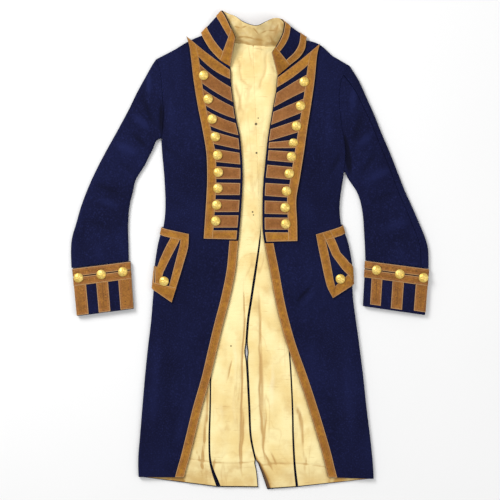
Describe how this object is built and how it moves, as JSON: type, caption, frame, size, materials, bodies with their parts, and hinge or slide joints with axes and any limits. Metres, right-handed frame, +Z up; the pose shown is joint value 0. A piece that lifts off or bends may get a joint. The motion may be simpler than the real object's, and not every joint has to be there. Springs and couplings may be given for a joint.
{
  "type": "napoleon coat",
  "caption": "Historic military coat laid flat on its back, open in front, with laced lapels, standing collar, laced cuffs and pocket flaps.",
  "frame": {"origin": "centre of the bounding box's underside, on the surface that the coat lies on", "axes": "+Y toward the collar, +Z up from the surface, +X to the right of the coat seen from above"},
  "size_m": [0.7871, 1.0532, 0.0352],
  "materials": {
    "navy_wool": "felted navy broadcloth",
    "cream_lining": "creased cream satin",
    "bronze_lace": "woven metallic braid",
    "gilt_button": "stamped gilt"
  },
  "bodies": {
    "root": {"front_left": "navy_wool", "back_left": "navy_wool", "top_sleeve_left": "navy_wool", "under_sleeve_left": "navy_wool", "cuff_left": "navy_wool", "lapel_left": "navy_wool", "pocket_flap_left": "navy_wool", "back_lining_left": "cream_lining", "side_lining_left": "cream_lining", "cuff_lace_left": "bronze_lace", "lapel_lace_left": "bronze_lace", "front_lace_left": "bronze_lace", "flap_lace_left": "bronze_lace", "lapel_button_left_1": "gilt_button", "lapel_button_left_2": "gilt_button", "lapel_button_left_3": "gilt_button", "lapel_button_left_4": "gilt_button", "lapel_button_left_5": "gilt_button", "lapel_button_left_6": "gilt_button", "lapel_button_left_7": "gilt_button", "lapel_button_left_8": "gilt_button", "lapel_button_left_9": "gilt_button", "cuff_button_left_1": "gilt_button", "cuff_button_left_2": "gilt_button", "cuff_button_left_3": "gilt_button", "flap_button_left": "gilt_button", "front_right": "navy_wool", "back_right": "navy_wool", "top_sleeve_right": "navy_wool", "under_sleeve_right": "navy_wool", "cuff_right": "navy_wool", "lapel_right": "navy_wool", "pocket_flap_right": "navy_wool", "back_lining_right": "cream_lining", "side_lining_right": "cream_lining", "cuff_lace_right": "bronze_lace", "lapel_lace_right": "bronze_lace", "front_lace_right": "bronze_lace", "flap_lace_right": "bronze_lace", "lapel_button_right_1": "gilt_button", "lapel_button_right_2": "gilt_button", "lapel_button_right_3": "gilt_button", "lapel_button_right_4": "gilt_button", "lapel_button_right_5": "gilt_button", "lapel_button_right_6": "gilt_button", "lapel_button_right_7": "gilt_button", "lapel_button_right_8": "gilt_button", "lapel_button_right_9": "gilt_button", "cuff_button_right_1": "gilt_button", "cuff_button_right_2": "gilt_button", "cuff_button_right_3": "gilt_button", "flap_button_right": "gilt_button", "collar": "navy_wool", "collar_lining": "cream_lining", "collar_lace": "bronze_lace"}
  },
  "joints": []
}
